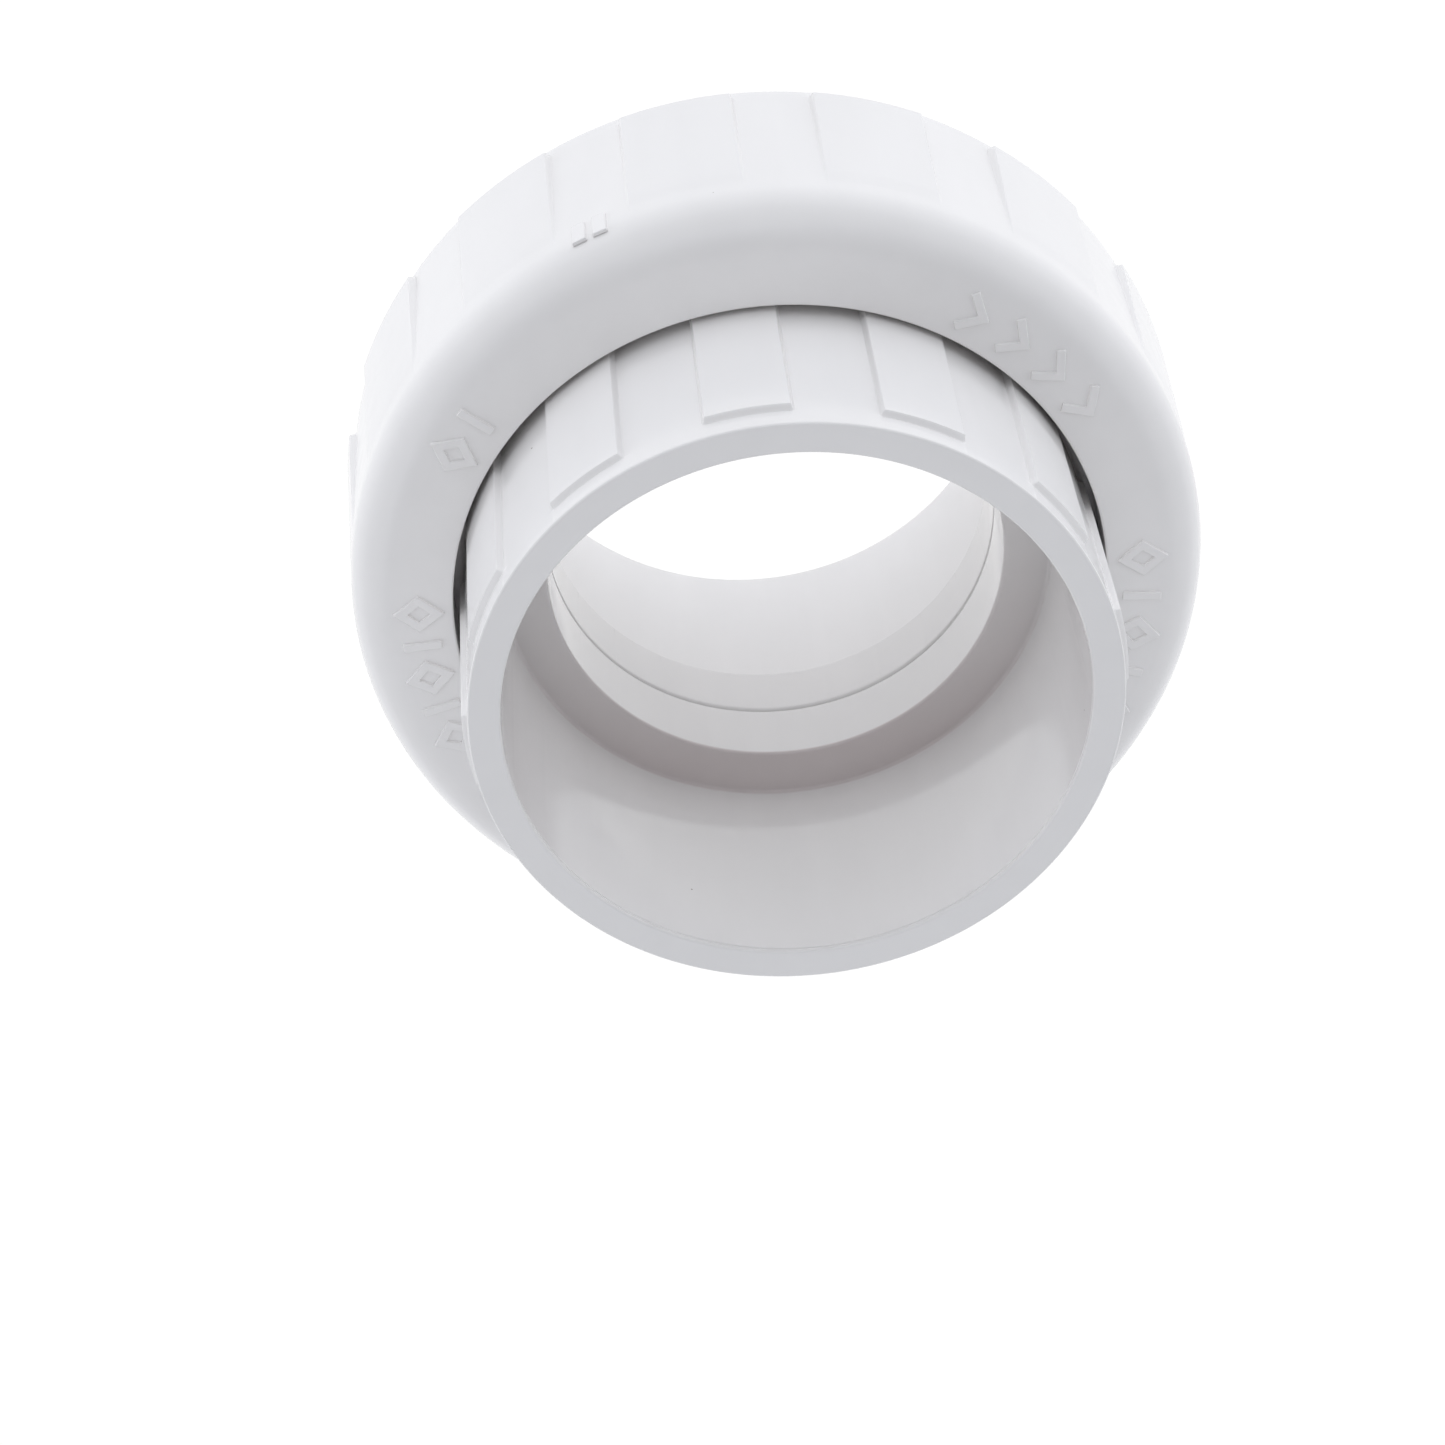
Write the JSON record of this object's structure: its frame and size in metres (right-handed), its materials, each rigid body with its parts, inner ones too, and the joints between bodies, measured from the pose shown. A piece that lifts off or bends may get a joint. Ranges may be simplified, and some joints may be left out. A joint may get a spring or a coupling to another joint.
{
  "type": "pipe union fitting",
  "caption": "White plastic union fitting: a large ribbed nut screws a flanged socket onto a threaded socket, to join two irrigation pipes so that they can be taken apart.",
  "frame": {"origin": "centre of the threaded body's mouth, on the pipe axis", "axes": "+Z along the pipe axis from the threaded body to the tailpiece; +X and +Y across it, square to each other"},
  "size_m": [0.0938, 0.0938, 0.0778],
  "materials": {
    "body_plastic": "moulded white PVC, soft gloss",
    "o_ring_rubber": "matt black EPDM",
    "tailpiece_plastic": "moulded white PVC, soft gloss",
    "nut_plastic": "moulded white PVC, soft gloss"
  },
  "bodies": {
    "fitting_body": {"threaded_body": "body_plastic", "o_ring": "o_ring_rubber"},
    "tailpiece": {"tailpiece": "tailpiece_plastic"},
    "nut": {"union_nut": "nut_plastic"}
  },
  "joints": [
    {"name": "tailpiece_lift", "type": "slide", "parent": "fitting_body", "child": "tailpiece", "axis": [0, 0, 1], "range_m": [0, 0.015]},
    {"name": "nut_turn", "type": "hinge", "parent": "tailpiece", "child": "nut", "pos_m": [0, 0, 0], "axis": [0, 0, 1], "range_deg": [0, 1080]}
  ],
  "couplings": [
    {"joint": "tailpiece_lift", "follows": "nut_turn", "m_per_rad": 0.00079577}
  ]
}
